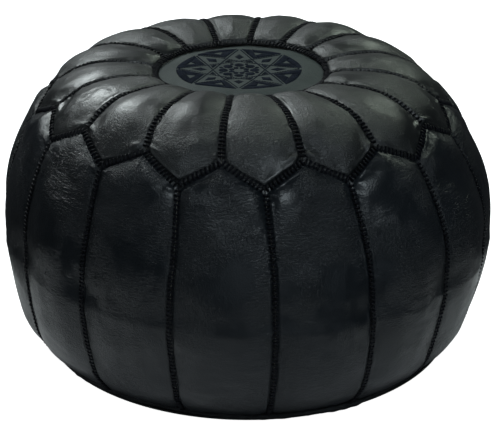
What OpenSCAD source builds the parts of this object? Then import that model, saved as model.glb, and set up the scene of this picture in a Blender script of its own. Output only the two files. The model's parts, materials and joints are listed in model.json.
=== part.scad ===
// Round leather floor cushion: petals round a medallion, side panels, braided seams,
// and a two-piece zipped base. Millimetres, +Z up, the floor is z = 0.

/* [Cushion] */
// Diameter over the leather at the side seams
cushion_d = 495; // [460:5:560]
// Height of the seam between medallion and petals
shoulder_h = 282; // [262:2:310]
// Segments round the cushion
segments = 16; // [12:2:20]
// How far a petal bulges above its seams
petal_puff = 4.6; // [2:0.2:6]
// How far a side panel bulges out of its seams
side_puff = 3.8; // [2:0.2:5]

/* [Leather] */
// Thickness of the leather
leather_t = 1.6; // [1.2:0.1:2]
// Open gap between neighbouring leather pieces, along a seam
seam_gap = 0.6; // [0.4:0.1:1]

/* [Braided stitching] */
// Width of a braid
braid_w = 6.4; // [5:0.2:7]
// Height of a braid over the leather
braid_h = 1.8; // [1.2:0.1:2.4]

/* [Medallion] */
// Diameter of the embroidered circle
embroidery_d = 127; // [110:1:140]
// Thickness of the thread layer
thread_t = 0.8; // [0.5:0.1:1.2]
// Width of the leather lines left between the threads
star_line_w = 2.2; // [1.6:0.2:3]

/* [Base piping] */
// Outside diameter of the piping
piping_d = 7.2; // [6:0.2:7.2]
// Diameter of the cord inside the piping
piping_cord_d = 4.4; // [3:0.2:4.4]

/* [Zip] */
// Distance from the end of the teeth to the edge of the base
zip_inset = 43; // [43:1:80]
// Distance from tooth to tooth in one row
tooth_pitch = 3.4; // [3:0.2:5]
// Length of the pull tab
pull_l = 30; // [22:1:30]

/* [Hidden] */
$fn = 96;

function two_digits(k) = str(k < 10 ? "0" : "", k);
function petal_name(k) = str("top_petal_", two_digits(k));
function panel_name(k) = str("side_panel_", two_digits(k));

// ---- Outline of the cushion along a seam ------------------------------------------------
// Smooth curve through these [radius, height] stations, drawn for a cushion 495 across with
// its shoulder at 282, and scaled to the driving sizes. Stations are about 30 apart.
drawn_r = 247.5;
drawn_h = 282;
stations = [
  [87, 282], [112, 286], [142, 285], [170, 277], [194, 262], [216, 239], [232, 213],
  [242, 184], [247, 154], [247.5, 124], [245, 92], [239.5, 62], [231, 34], [213, 9]
];
station_pitch = 30;
// The zigzag seam runs between these two places on the curve, the side panels end at the third
peak_s = 4;
valley_s = 4.75;
base_s = 13;

r_scale = cushion_d / 2 / drawn_r;
z_scale = shoulder_h / drawn_h;

last_station = len(stations) - 1;
// The curve runs straight on past its first and last stations
function station(i) =
  i < 0 ? 2 * station(0) - station(1)
  : i > last_station ? 2 * station(last_station) - station(last_station - 1)
  : [stations[i][0] * r_scale, stations[i][1] * z_scale];
function spline(a, b, c, d, t) =
  ((2 * b) + (c - a) * t + (2 * a - 5 * b + 4 * c - d) * t * t
   + (3 * b - a - 3 * c + d) * t * t * t) / 2;
function curve(s) =
  let (i = min(max(floor(s), 0), last_station - 1))
  spline(station(i - 1), station(i), station(i + 1), station(i + 2), s - i);
function unit(v) = v / norm(v);
function slope(s) = unit(curve(s + 0.01) - curve(s - 0.01));
function outward(s) = let (d = slope(s)) [-d[1], d[0]];
function raised(s, h) = curve(s) + outward(s) * h;
function spin(p, a) = [p[0] * cos(a), p[0] * sin(a), p[1]];

half_angle = 180 / segments;
function valley_angle(k) = -90 + 2 * half_angle * (k - 1);
function peak_angle(k) = valley_angle(k) + half_angle;

// ---- Leather panels ---------------------------------------------------------------------
// A panel is a net of points: u runs across it from seam to seam (-1 to 1), and s down the
// curve. Near its edges it lies flat on the seam line, as a margin for the braid.
margin = 4.6;
zigzag_margin = 5.4;
corner_u = 0.115;
petal_rows = 8;
panel_rows = 9;

function flat_u(s) = 1 - margin / (curve(s)[0] * half_angle * PI / 180);
function net_columns(s) =
  let (f = flat_u(s)) [-1, -f, -0.5, -corner_u, 0, corner_u, 0.5, f, 1];
function swell(t) = max(0, 1 - pow(abs(t), 3));
function net_point(centre, u, s, h) =
  let (p = raised(s, h), a = half_angle - asin(seam_gap / 2 / p[0])) spin(p, centre + u * a);

// One row of a panel, drawn from its u = 0 place and its u = 1 place on the curve
function row_s(mid_s, edge_s, u) = mid_s + (edge_s - mid_s) * abs(u);
function row_points(centre, mid_s, edge_s, puff, row_t, h) = [
  for (u = net_columns(edge_s))
    let (f = flat_u(edge_s), bulge = puff * swell(u / f) * swell(row_t))
    net_point(centre, u, row_s(mid_s, edge_s, u), h + (abs(u) < 0.99 ? bulge : 0))
];
// Places of the rows: a margin at each end, even steps between
function row_places(top, bottom, top_margin, bottom_margin, rows) = concat(
  [top],
  [for (j = [0 : rows - 2])
    top + top_margin + (bottom - bottom_margin - top - top_margin) * j / (rows - 2)],
  [bottom]
);
function row_swell(j, rows) = j == 0 || j == rows ? 1 : 2 * (j - 1) / (rows - 2) - 1;

module panel(centre, mid_rows, edge_rows, puff) {
  rows = len(mid_rows) - 1;
  outer = [for (j = [0 : rows]) each
    row_points(centre, mid_rows[j], edge_rows[j], puff, row_swell(j, rows), 0)];
  inner = [for (j = [0 : rows]) each
    row_points(centre, mid_rows[j], edge_rows[j], puff, row_swell(j, rows), -leather_t)];
  net_solid(outer, inner, len(net_columns(0)), rows + 1);
}

// Closed solid between two nets of columns x rows points
module net_solid(outer, inner, columns, rows) {
  n = len(outer);
  function at(i, j) = j * columns + i;
  last = columns - 1;
  end = rows - 1;
  cells = [for (j = [0 : end - 1], i = [0 : last - 1])
    [at(i, j), at(i, j + 1), at(i + 1, j + 1), at(i + 1, j)]];
  left = [for (j = [0 : end - 1], i = [0 : last - 1]) i < last / 2];
  skin = [for (k = [0 : len(cells) - 1]) let (c = cells[k]) each
    left[k] ? [[c[0], c[3], c[1]], [c[3], c[2], c[1]]]
            : [[c[0], c[3], c[2]], [c[0], c[2], c[1]]]];
  back = [for (t = skin) [n + t[0], n + t[2], n + t[1]]];
  rim = concat(
    [for (i = [0 : last - 1]) [at(i + 1, 0), at(i, 0)]],
    [for (i = [0 : last - 1]) [at(i, end), at(i + 1, end)]],
    [for (j = [0 : end - 1]) [at(0, j), at(0, j + 1)]],
    [for (j = [0 : end - 1]) [at(last, j + 1), at(last, j)]]
  );
  wall = [for (e = rim) each [[e[0], e[1], n + e[1]], [e[0], n + e[1], n + e[0]]]];
  polyhedron(concat(outer, inner), concat(skin, back, wall), convexity = 4);
}

petal_inner_s = 0;
function petal_outer_s(u) = row_s(valley_s, peak_s, u);

module top_petal(k) {
  gap_s = seam_gap * 0.6 / station_pitch;
  m = margin / station_pitch;
  z = zigzag_margin / station_pitch;
  color("#4f5a55")
    panel(valley_angle(k),
          row_places(petal_inner_s, valley_s - gap_s, m, z, petal_rows),
          row_places(petal_inner_s, peak_s - gap_s, m, z, petal_rows), petal_puff);
}

module side_panel(k) {
  gap_s = seam_gap * 0.6 / station_pitch;
  m = margin / station_pitch;
  z = zigzag_margin / station_pitch;
  color("#2b2f30")
    panel(peak_angle(k),
          row_places(peak_s + gap_s, base_s, z, m, panel_rows),
          row_places(valley_s + gap_s, base_s, z, m, panel_rows), side_puff);
}

// ---- Braided stitching ------------------------------------------------------------------
// Cross-section of a braid: [place across, height], flat underneath and rounded on top
braid_lift = 0.25;
braid_section = [
  [-braid_w / 2, 0], [-braid_w * 0.36, braid_h * 0.8], [0, braid_h],
  [braid_w * 0.36, braid_h * 0.8], [braid_w / 2, 0]
];
// A cross-section standing on the curve at s and angle a, across the direction that runs
// along the curve by run[0] and round the cushion by run[1]
function braid_ring(s, a, run, widen = 1) =
  let (
    d = slope(s), n = outward(s), r = unit(run), foot = curve(s),
    down = [d[0] * cos(a), d[0] * sin(a), d[1]],
    round = [-sin(a), cos(a), 0],
    up = [n[0] * cos(a), n[0] * sin(a), n[1]],
    across = down * r[1] - round * r[0]
  )
  [for (p = braid_section)
    spin(foot, a) + across * p[0] * widen + up * (p[1] + braid_lift)];

module braid_strip(rings, closed = false) {
  m = len(braid_section);
  n = len(rings);
  steps = closed ? n - 1 : n - 2;
  function at(i, j) = (i % n) * m + j % m;
  skin = [for (i = [0 : steps], j = [0 : m - 1]) each
    [[at(i, j), at(i, j + 1), at(i + 1, j)], [at(i, j + 1), at(i + 1, j + 1), at(i + 1, j)]]];
  ends = closed ? [] : [
    [for (j = [m - 1 : -1 : 0]) at(0, j)],
    [for (j = [0 : m - 1]) at(n - 1, j)]
  ];
  polyhedron([for (r = rings) each r], concat(skin, ends), convexity = 4);
}

corner_clear = 4.6 / station_pitch;
// Where the radial braids start, just outside the medallion's braid
ring_clear = 7 / station_pitch;

module top_seam_braids() {
  rows = row_places(petal_inner_s, peak_s, margin / station_pitch,
                    zigzag_margin / station_pitch, petal_rows);
  places = concat([ring_clear], [for (j = [2 : petal_rows - 1]) rows[j]],
                  [peak_s - corner_clear]);
  color("#14161c")
    for (k = [1 : segments])
      braid_strip([for (s = places) braid_ring(s, peak_angle(k), [1, 0])]);
}

module side_seam_braids() {
  rows = row_places(valley_s, base_s, zigzag_margin / station_pitch,
                    margin / station_pitch, panel_rows);
  places = concat([valley_s + corner_clear], [for (j = [1 : panel_rows - 1]) rows[j]],
                  [base_s - 1 / station_pitch]);
  color("#14161c")
    for (k = [1 : segments])
      braid_strip([for (s = places) braid_ring(s, valley_angle(k), [1, 0])]);
}

module zigzag_braid() {
  leg_s = (valley_s - peak_s) * station_pitch;
  leg_round = curve(peak_s)[0] * half_angle * PI / 180;
  mitre = norm([leg_s, leg_round]) / leg_round;
  steps = [0, corner_u, 0.5, 1 - corner_u];
  // From each valley up to the next peak, then down to the next valley
  rings = [for (k = [1 : segments], up = [true, false], t = steps)
    let (
      u = up ? t : 1 - t,
      a = valley_angle(k) + half_angle * (up ? t : 1 + t),
      corner = t == 0
    )
    braid_ring(petal_outer_s(u), a, corner ? [0, 1] : [up ? -leg_s : leg_s, leg_round],
               corner ? mitre : 1)];
  color("#14161c") braid_strip(rings, closed = true);
}

// ---- Medallion --------------------------------------------------------------------------
medallion_r = curve(0)[0] - 0.5;
medallion_top = shoulder_h + 2.5;
star_points = 8;
star_step = 3;

module medallion() {
  color("#555d58")
    translate([0, 0, medallion_top - leather_t]) cylinder(r = medallion_r, h = leather_t);
}

// Leather lines of an eight-pointed star drawn without lifting the pen
module star_lines(r) {
  reach = r * cos(180 * star_step / star_points);
  for (k = [0 : star_points - 1])
    rotate(k * 360 / star_points + 180 / star_points)
      translate([reach, 0]) square([star_line_w, 2 * r], center = true);
}

module star_triangles(r) {
  size = r * 0.09;
  for (k = [0 : star_points - 1])
    rotate((k + 0.5) * 360 / star_points)
      translate([r * 0.8, 0]) circle(size, $fn = 3);
}

module rosette(r) {
  for (k = [0 : star_points - 1])
    rotate((k + 0.5) * 360 / star_points) translate([r * 0.2, 0]) circle(r * 0.06, $fn = 16);
}

module medallion_embroidery() {
  r = embroidery_d / 2;
  heart = r * 0.32;
  color("#1b2740")
    translate([0, 0, medallion_top + 0.05])
      linear_extrude(thread_t) {
        difference() {
          circle(r);
          star_lines(r);
          star_triangles(r);
          circle(heart);
        }
        rosette(r);
      }
}

module medallion_braid() {
  foot_in = medallion_top + 0.2;
  foot_out = curve(0.15)[1] + 0.35;
  mid = medallion_r + 0.6;
  top = medallion_top + 0.2 + braid_h;
  color("#14161c")
    rotate_extrude()
      polygon([
        [mid - braid_w / 2, foot_in], [mid, foot_in], [mid, foot_out],
        [mid + braid_w / 2, foot_out + 0.1], [mid + braid_w * 0.45, top - 1.6],
        [mid + braid_w * 0.22, top - 0.3], [mid - braid_w * 0.1, top],
        [mid - braid_w * 0.38, top - 0.4]
      ]);
}

// ---- Base -------------------------------------------------------------------------------
base_r = curve(base_s)[0];
rim_h = 3;
seam_half_gap = 0.3;
// Recess along the zip, so that the slider and its pull stay clear of the floor
recess_l = 2 * (base_r - 18);
recess_half_w = 22;
ledge_half_w = 12;
fold_half_w = 6.5;
ledge_z = 6.5;

// Flat leather with its edge rolled up towards the piping, as a section
module base_section() {
  polygon([
    [0, 0], [base_r - 5, 0], [base_r - 1, 0.5], [base_r + 1.6, 2], [base_r + 2.2, rim_h],
    [base_r + 0.8, rim_h + 0.4], [base_r - 0.2, leather_t + 0.5], [base_r - 5, leather_t],
    [0, leather_t]
  ]);
}

// Section across the zip, run along it
module recess_sheet() {
  rotate([90, 0, 90])
    linear_extrude(recess_l, center = true)
      polygon([
        [recess_half_w + 1, 0], [recess_half_w, 0], [ledge_half_w, ledge_z],
        [fold_half_w, ledge_z],
        [fold_half_w, ledge_z + leather_t], [ledge_half_w + 0.8, ledge_z + leather_t],
        [recess_half_w + 0.6, leather_t], [recess_half_w + 1, leather_t]
      ]);
}

module recess_end() {
  rotate([90, 0, 90])
    linear_extrude(leather_t)
      polygon([
        [recess_half_w + 1, 0], [recess_half_w + 1, leather_t], [recess_half_w + 0.6, leather_t],
        [ledge_half_w + 0.8, ledge_z + leather_t], [seam_half_gap, ledge_z + leather_t],
        [seam_half_gap, 0]
      ]);
}

// The half on the +Y side
module base_half() {
  difference() {
    rotate_extrude(angle = 180) base_section();
    translate([-base_r - 10, -1, -1]) cube([2 * base_r + 20, 1 + seam_half_gap, 20]);
    translate([-recess_l / 2, -1, -1]) cube([recess_l, recess_half_w + 2, 20]);
  }
  recess_sheet();
  translate([recess_l / 2 - leather_t, 0, 0]) recess_end();
  translate([-recess_l / 2, 0, 0]) recess_end();
}

module base_half_back() {
  color("#4a4f4b") base_half();
}

module base_half_front() {
  color("#4a4f4b") rotate(180) base_half();
}

piping_r = base_r - 2.6;
piping_z = 6;

module piping_ring(d) {
  rotate_extrude() translate([piping_r, piping_z]) circle(d = d, $fn = 48);
}

module base_piping_cover() {
  color("#22262a") difference() {
    piping_ring(piping_d);
    piping_ring(piping_cord_d + 0.2);
  }
}

module base_piping_cord() {
  color("#d8cdb4") piping_ring(piping_cord_d);
}

// ---- Zip --------------------------------------------------------------------------------
zip_l = 2 * (base_r - zip_inset);
tape_z = 8.3;
tape_t = 0.6;
tape_half_w = 16;
tape_edge = 1.6;
chain_z = tape_z + tape_t / 2;
tooth_h = 2.4;
tooth_w = 1.7;
tooth_in = 0.6;
tooth_out = 3.2;
stop_l = 3;
slider_l = 13;
slider_half_w = 5.2;
plate_t = 1.1;
play = 0.4;
plate_z = chain_z - tooth_h / 2 - play - plate_t;
slider_start = -zip_l / 2 + slider_l / 2 + 1;
pull_pin_z = plate_z - 1.3;
pull_pin_r = 0.7;
bridge_half_l = 3.2;
bridge_half_w = 1.2;

module zip_tape() {
  translate([-zip_l / 2 - 14, tape_edge, tape_z])
    cube([zip_l + 28, tape_half_w - tape_edge, tape_t]);
}

module zip_tape_back() {
  color("#1a1a1c") zip_tape();
}

module zip_tape_front() {
  color("#1a1a1c") mirror([0, 1, 0]) zip_tape();
}

// One clamped tooth, its jaw open towards the tape
module tooth() {
  difference() {
    translate([-tooth_w / 2, tooth_in, chain_z - tooth_h / 2])
      cube([tooth_w, tooth_out - tooth_in, tooth_h]);
    translate([-tooth_w, tape_edge - 0.1, tape_z - 0.1])
      cube([2 * tooth_w, tooth_out, tape_t + 0.2]);
  }
}

module tooth_row(shift) {
  count = floor((zip_l - tooth_pitch) / tooth_pitch);
  for (k = [0 : count - 1])
    translate([-zip_l / 2 + tooth_pitch / 2 + shift + k * tooth_pitch, 0, 0]) tooth();
}

module zip_teeth_back() {
  color("#9a8a5a") tooth_row(0);
}

module zip_teeth_front() {
  color("#9a8a5a") mirror([0, 1, 0]) tooth_row(tooth_pitch / 2);
}

module zip_stops() {
  color("#9a8a5a")
    for (end = [-1, 1])
      translate([end * (zip_l / 2 + stop_l / 2 + 1), 0, chain_z])
        difference() {
          cube([stop_l, 2 * tooth_out, tooth_h], center = true);
          for (side = [-1, 1])
            translate([0, side * (tape_edge + tooth_out), 0])
              cube([2 * stop_l, 2 * tooth_out + 0.2, tape_t + 0.2], center = true);
        }
}

// Two plates over and under the teeth, joined by a thin divider, with a bridge for the pull
module zip_slider() {
  divider_t = 0.6;
  divider_l = 4;
  flange_t = 1;
  inside_h = tooth_h + 2 * play;
  top_z = plate_z + plate_t + inside_h;
  flange_h = (inside_h - tape_t) / 2 - play;
  color("#a8955f")
    translate([slider_start, 0, 0]) {
      for (z = [plate_z, top_z])
        translate([-slider_l / 2, -slider_half_w, z])
          cube([slider_l, 2 * slider_half_w, plate_t]);
      translate([slider_l / 2 - divider_l, -divider_t / 2, plate_z + plate_t / 2])
        cube([divider_l, divider_t, inside_h + plate_t]);
      for (side = [-1, 1], z = [plate_z + plate_t, top_z - flange_h])
        translate([-slider_l / 2, side * (slider_half_w - flange_t / 2) - flange_t / 2, z - 0.1])
          cube([slider_l, flange_t, flange_h + 0.1]);
      // Bridge: a strap under the lower plate, standing on two feet
      translate([-bridge_half_l, -bridge_half_w, pull_pin_z - 2])
        difference() {
          cube([2 * bridge_half_l, 2 * bridge_half_w, plate_z - pull_pin_z + 2.1]);
          translate([1, -1, 1])
            cube([2 * bridge_half_l - 2, 2 * bridge_half_w + 2, plate_z - pull_pin_z + 1]);
        }
    }
}

// Pin through the bridge, two arms, and a rounded tab, lying along the zip
module zip_pull() {
  arm_gap = bridge_half_w + 0.5;
  arm_w = 1.4;
  arm_l = 6;
  tab_half_w = arm_gap + arm_w;
  color("#a8955f")
    translate([slider_start, 0, pull_pin_z]) {
      rotate([90, 0, 0]) cylinder(r = pull_pin_r, h = 2 * tab_half_w, center = true, $fn = 32);
      difference() {
        union() {
          translate([0, -tab_half_w, -pull_pin_r])
            cube([pull_l - tab_half_w, 2 * tab_half_w, 2 * pull_pin_r]);
          translate([pull_l - tab_half_w, 0, -pull_pin_r])
            cylinder(r = tab_half_w, h = 2 * pull_pin_r, $fn = 48);
        }
        translate([-1, -arm_gap, -2]) cube([arm_l + 1, 2 * arm_gap, 4]);
        translate([pull_l - tab_half_w, 0, -2]) cylinder(r = 1.2, h = 4, $fn = 32);
      }
    }
}

// ---- Filling ----------------------------------------------------------------------------
liner_t = 0.8;
// The liner hangs clear of the leather, whose facets cut inside the curve between two rows
liner_gap = 2.2;
filling_floor = chain_z + tooth_h / 2 + play + plate_t + 1;
filling_end_s = 12.6;

// Solid of revolution that stays a given depth inside the seam line
module inside_body(depth, floor_z, top_z) {
  steps = 40;
  places = [for (j = [0 : steps]) filling_end_s * j / steps];
  wall = [for (s = places) let (p = raised(s, -depth)) [p[0], max(p[1], floor_z)]];
  rotate_extrude()
    polygon(concat([[0, floor_z], [0, top_z], [wall[0][0] - 6, top_z]], wall,
                   [[wall[steps][0] - 12, floor_z]]));
}

module liner() {
  depth = leather_t + liner_gap;
  roof = medallion_top - leather_t - liner_gap;
  color("#d9d2c3") difference() {
    inside_body(depth, filling_floor, roof);
    inside_body(depth + liner_t, filling_floor + liner_t, roof - liner_t);
  }
}

module stuffing() {
  depth = leather_t + liner_gap + liner_t + 0.4;
  color("#e8e2d4")
    inside_body(depth, filling_floor + liner_t + 0.4,
                medallion_top - leather_t - liner_gap - liner_t - 0.4);
}

for (k = [1 : segments])
  top_petal(k);
for (k = [1 : segments])
  side_panel(k);
medallion();
medallion_embroidery();
medallion_braid();
top_seam_braids();
zigzag_braid();
side_seam_braids();
base_half_front();
base_half_back();
base_piping_cover();
base_piping_cord();
zip_tape_front();
zip_tape_back();
zip_teeth_front();
zip_teeth_back();
zip_slider();
zip_pull();
zip_stops();
liner();
stuffing();
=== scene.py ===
import json
import math

import bpy
import numpy as np
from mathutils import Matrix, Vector


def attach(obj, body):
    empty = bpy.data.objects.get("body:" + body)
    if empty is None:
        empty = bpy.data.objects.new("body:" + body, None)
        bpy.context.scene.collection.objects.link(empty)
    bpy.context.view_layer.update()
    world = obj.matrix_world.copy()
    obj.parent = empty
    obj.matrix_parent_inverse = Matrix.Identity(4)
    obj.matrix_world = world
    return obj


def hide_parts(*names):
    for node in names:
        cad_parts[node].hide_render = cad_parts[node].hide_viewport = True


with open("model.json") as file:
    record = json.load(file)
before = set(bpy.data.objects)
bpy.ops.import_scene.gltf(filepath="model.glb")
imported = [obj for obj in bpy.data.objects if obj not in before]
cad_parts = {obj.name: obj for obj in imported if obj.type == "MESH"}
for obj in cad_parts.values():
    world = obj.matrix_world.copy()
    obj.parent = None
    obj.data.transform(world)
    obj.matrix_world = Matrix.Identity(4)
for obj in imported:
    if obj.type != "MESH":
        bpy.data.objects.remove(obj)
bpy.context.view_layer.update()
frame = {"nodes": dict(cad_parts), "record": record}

# The pouf's lengths are in millimetres until mesh_object() turns them into metres, and so are
# the floor's. The camera and the lamps are placed in metres.
MM = 0.001
BODY = "cushion"

# ---- Camera ----------------------------------------------
CAMERA_AZIMUTH = math.radians(-5.5)
CAMERA_ELEVATION = math.radians(24.9)
CAMERA_DISTANCE = 1.75
CAMERA_TARGET_HEIGHT = 0.1175
CAMERA_TARGET_RIGHT = 0.0026
CAMERA_LENS = 119.9


def make_camera():
    away = Vector((
        math.sin(CAMERA_AZIMUTH) * math.cos(CAMERA_ELEVATION),
        -math.cos(CAMERA_AZIMUTH) * math.cos(CAMERA_ELEVATION),
        math.sin(CAMERA_ELEVATION),
    ))
    right = Vector((math.cos(CAMERA_AZIMUTH), math.sin(CAMERA_AZIMUTH), 0))
    target = right * CAMERA_TARGET_RIGHT + Vector((0, 0, CAMERA_TARGET_HEIGHT))
    data = bpy.data.cameras.new("camera")
    data.lens = CAMERA_LENS
    data.sensor_width = 36
    camera = bpy.data.objects.new("camera", data)
    camera.location = target + away * CAMERA_DISTANCE
    camera.rotation_mode = "QUATERNION"
    camera.rotation_quaternion = (-away).to_track_quat("-Z", "Y")
    bpy.context.scene.collection.objects.link(camera)
    bpy.context.scene.camera = camera


make_camera()

# ---- Outline of the cushion along a seam -----------------
# [radius, height] stations about 30 mm apart, from the medallion out, over and down
STATIONS = np.array([
    (87, 282), (112, 286), (142, 285), (170, 277), (194, 262), (216, 239), (232, 213),
    (242, 184), (247, 154), (247.5, 124), (245, 92), (239.5, 62), (231, 34), (213, 9),
], float)
# The sides stand upright down to a crease, and turn inwards below it
CREASE_S = 9.3
CREASE = (248, 115)
UPPER_S = np.append(np.arange(10), CREASE_S)
UPPER = np.vstack([STATIONS[:10], CREASE])
LOWER_S = np.array([CREASE_S, 10, 11, 12, 13])
LOWER = np.vstack([CREASE, STATIONS[10:]])
# Length of outline from one station to the next
PITCH = 30.0
SEGMENTS = 16
HALF = math.pi / SEGMENTS
# The zigzag hangs 3 mm lower than it is cut, drawn down by the sides
PEAK_S = 4.1
VALLEY_S = 4.85
BASE_S = 13.0
ZIGZAG_R = 205
ZIGZAG_SLOPE = math.atan2((VALLEY_S - PEAK_S) * PITCH, ZIGZAG_R * HALF)


def valley_angle(k):
    return -math.pi / 2 + 2 * HALF * k


def peak_angle(k):
    return valley_angle(k) + HALF


def spline(knots, points, s):
    """Smooth curve through points, each reached at its own place in knots."""
    steps = np.diff(points, axis=0) / np.diff(knots)[:, None]
    pull = np.vstack([steps[:1], (steps[1:] + steps[:-1]) / 2, steps[-1:]])
    i = np.clip(np.searchsorted(knots, s, side="right") - 1, 0, len(knots) - 2)
    span = (knots[i + 1] - knots[i])[..., None]
    t = (s - knots[i])[..., None] / span
    return (points[i] * (1 + 2 * t) * (1 - t) ** 2 + pull[i] * span * t * (1 - t) ** 2
            + points[i + 1] * t * t * (3 - 2 * t) + pull[i + 1] * span * t * t * (t - 1))


def curve(s):
    """Points [..., (radius, height)] of the outline, smooth above and below its crease."""
    s = np.asarray(s, float)
    upper = spline(UPPER_S, UPPER, np.clip(s, 0, CREASE_S))
    lower = spline(LOWER_S, LOWER, np.clip(s, CREASE_S, BASE_S))
    return np.where((s <= CREASE_S)[..., None], upper, lower)


def slope(s):
    """Direction [..., (outwards, upwards)] of the outline at s, of length 1."""
    d = curve(np.minimum(s + 0.01, BASE_S)) - curve(np.maximum(s - 0.01, 0))
    return d / np.linalg.norm(d, axis=-1, keepdims=True)


def smooth(x):
    x = np.clip(x, 0, 1)
    return x * x * (3 - 2 * x)


def rise(x, start, length):
    """0 up to start, then smoothly up to 1 over length."""
    return smooth((x - start) / length)


def hump(x, middle, width):
    """1 at the middle, falling to 0.37 at a width away from it."""
    return np.exp(-((x - middle) / width) ** 2)


# ---- Irregularities of the whole cushion -----------------
class Waves:
    """Smooth seeded noise: a sum of sine waves of about one length, mostly from -2 to 2."""

    def __init__(self, seed, length, count=14, squash=(1, 1, 1)):
        rng = np.random.default_rng(seed)
        way = rng.normal(size=(count, 3))
        way /= np.linalg.norm(way, axis=1, keepdims=True)
        self.k = way * (2 * math.pi / (length * rng.uniform(0.75, 1.35, (count, 1)))) * squash
        self.phase = rng.uniform(0, 2 * math.pi, count)
        self.gain = 1.6 / math.sqrt(count)

    def __call__(self, p):
        return np.sin(p @ self.k.T + self.phase).sum(-1) * self.gain


body_lumps = Waves(3, 230)
body_twist = Waves(5, 260)
body_lift = Waves(8, 240)
BODY_SWELL = 1.7
BODY_TURN = 1.6
BODY_RISE = 1.3
LEAN = 4.0
TILT = 0.024
TWIST = 6.0
# The filling stands full under the petals and draws the shoulder in
TOP_FULL = 2.5
SHOULDER_IN = 5.0
OFF_CENTRE = 2.5
MEDALLION_TIP = 0.03


def settle(p):
    """Moves points of the cover and the filling a little, as filling that isn't even does."""
    p = np.asarray(p, float)
    r = np.hypot(p[..., 0], p[..., 1])
    side = rise(r, 90, 90) * rise(p[..., 2], 0, 60)
    out = p[..., :2] / np.maximum(r, 1)[..., None]
    around = np.stack([-out[..., 1], out[..., 0]], -1)
    swell = body_lumps(p) * BODY_SWELL * side
    turn = body_twist(p) * BODY_TURN * side
    moved = p.copy()
    x, z = p[..., 0], p[..., 2]
    swell = swell - SHOULDER_IN * rise(r, 140, 50) * hump(z, 222, 40)
    moved[..., :2] += out * swell[..., None] + around * turn[..., None]
    moved[..., 2] += body_lift(p) * BODY_RISE * rise(z, 20, 90)
    moved[..., 2] += TOP_FULL * hump(r, 160, 36) * rise(z, 200, 50)
    # The cushion is sat out of true: its top leans and tilts, and one flank is wrung round
    moved[..., 0] -= LEAN * rise(z, 170, 90)
    moved[..., 2] -= TILT * x * rise(z, 60, 200)
    # The medallion is sewn in a little to one side, and tips towards the back
    middle = rise(-r, -140, 55) * rise(z, 225, 30)
    moved[..., 0] -= OFF_CENTRE * middle
    moved[..., 2] -= MEDALLION_TIP * p[..., 1] * middle
    wring = TWIST * rise(-x, 0, 150) * rise(z, 100, 110) * rise(r, 90, 60)
    moved[..., :2] += around * wring[..., None]
    return moved


def place(s, angle, height, sideways=0.0):
    """Points over the outline at s and angle, height out of it and sideways along the ground."""
    s = np.asarray(s, float)
    p, d = curve(s), slope(s)
    r = p[..., 0] - d[..., 1] * height
    z = p[..., 1] + d[..., 0] * height
    a = angle + sideways / r
    return np.stack([r * np.cos(a), r * np.sin(a), z], -1)


# ---- Mesh helpers ----------------------------------------
def mesh_object(name, points, faces, smooth_faces=True):
    mesh = bpy.data.meshes.new(name)
    mesh.from_pydata((np.asarray(points) * MM).tolist(), [], faces)
    mesh.update()
    if smooth_faces:
        mesh.polygons.foreach_set("use_smooth", [True] * len(mesh.polygons))
    obj = bpy.data.objects.new(name, mesh)
    bpy.context.scene.collection.objects.link(obj)
    return obj


def net_faces(columns, rows, start=0, wrap=False):
    """Quads between the points of a net stored row by row."""
    i, j = np.meshgrid(np.arange(columns if wrap else columns - 1), np.arange(rows - 1))
    i, j = i.ravel(), j.ravel()
    i2 = (i + 1) % columns
    quads = np.stack([j * columns + i, (j + 1) * columns + i,
                      (j + 1) * columns + i2, j * columns + i2], 1) + start
    return quads.tolist()


def finish_piece(obj, material, slot, body, *nodes):
    obj.data.materials.append(material)
    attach(obj, body)
    if nodes:
        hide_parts(*nodes)


def solidify(obj, thickness):
    """Gives a sheet its thickness, all of it behind its front face."""
    mod = obj.modifiers.new("thickness", "SOLIDIFY")
    mod.thickness = thickness * MM
    mod.offset = -1


# ---- Leather panels --------------------------------------
LEATHER = 1.5
# The leather lies flat under the stitches, tucked in a little, and bulges beyond them
SEAM_FLAT = 2.2
SEAM_TUCK = 0.35
SEAM_GAP = 0.35
EDGE_ROLL = 9.0
EDGE_HEIGHT = 2.2
# What the middle of a piece adds to the height of its edges, and how far in it is full
PETAL_CROWN = 3.0
SIDE_CROWN = 2.6
PETAL_REACH = 26
SIDE_REACH = 38
# Heights of the smaller forms on a piece
NECK_FULL = 2.4
BROW_FULL = 2.8
RIDGE = 1.7
PETAL_DENT = 0.5
SIDE_DENT = 0.28
WRINKLE = 0.11
LIP = 0.42


def spread(count):
    """Places from -1 to 1, closer together near the ends."""
    x = np.linspace(-1, 1, count)
    return 0.5 * x + 0.5 * np.sin(x * math.pi / 2)


def soft_min(values, blend=3.0):
    values = np.stack(values)
    return -blend * np.log(np.exp(-values / blend).sum(0))


def roll(d):
    """Share of its full height that stuffed leather has at a distance from its seam: it
    climbs steeply at first, then levels out."""
    t = 1 - np.clip(d / EDGE_ROLL, 0, 1)
    return np.sqrt(np.clip(1 - t * t, 0, 1))


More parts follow.
